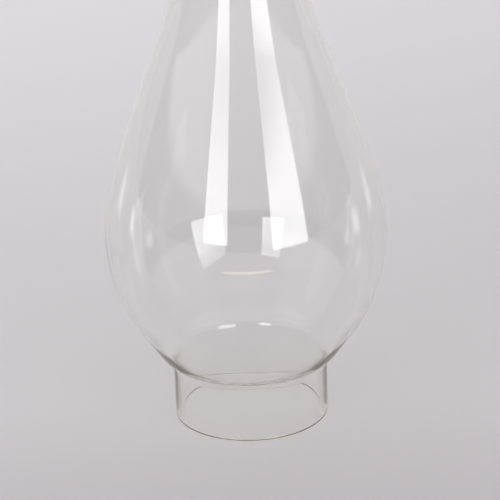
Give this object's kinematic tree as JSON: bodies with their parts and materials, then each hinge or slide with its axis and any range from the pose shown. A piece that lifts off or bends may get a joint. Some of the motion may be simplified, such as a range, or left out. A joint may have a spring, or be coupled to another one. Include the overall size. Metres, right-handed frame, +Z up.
{
  "type": "oil lamp chimney",
  "caption": "Clear blown-glass chimney for an oil lamp: straight fitter, pear-shaped bulb and a long taper to an open mouth.",
  "frame": {"origin": "on the chimney's axis, in the plane of the foot's flat ring, which rests in the burner's gallery", "axes": "+Z up along the chimney's axis, from the foot to the mouth; +X and +Y are free, because the part is round"},
  "size_m": [0.1348, 0.1348, 0.254],
  "materials": {
    "clear_glass": "gloss"
  },
  "bodies": {
    "root": {"glass_chimney": "clear_glass"}
  },
  "joints": []
}
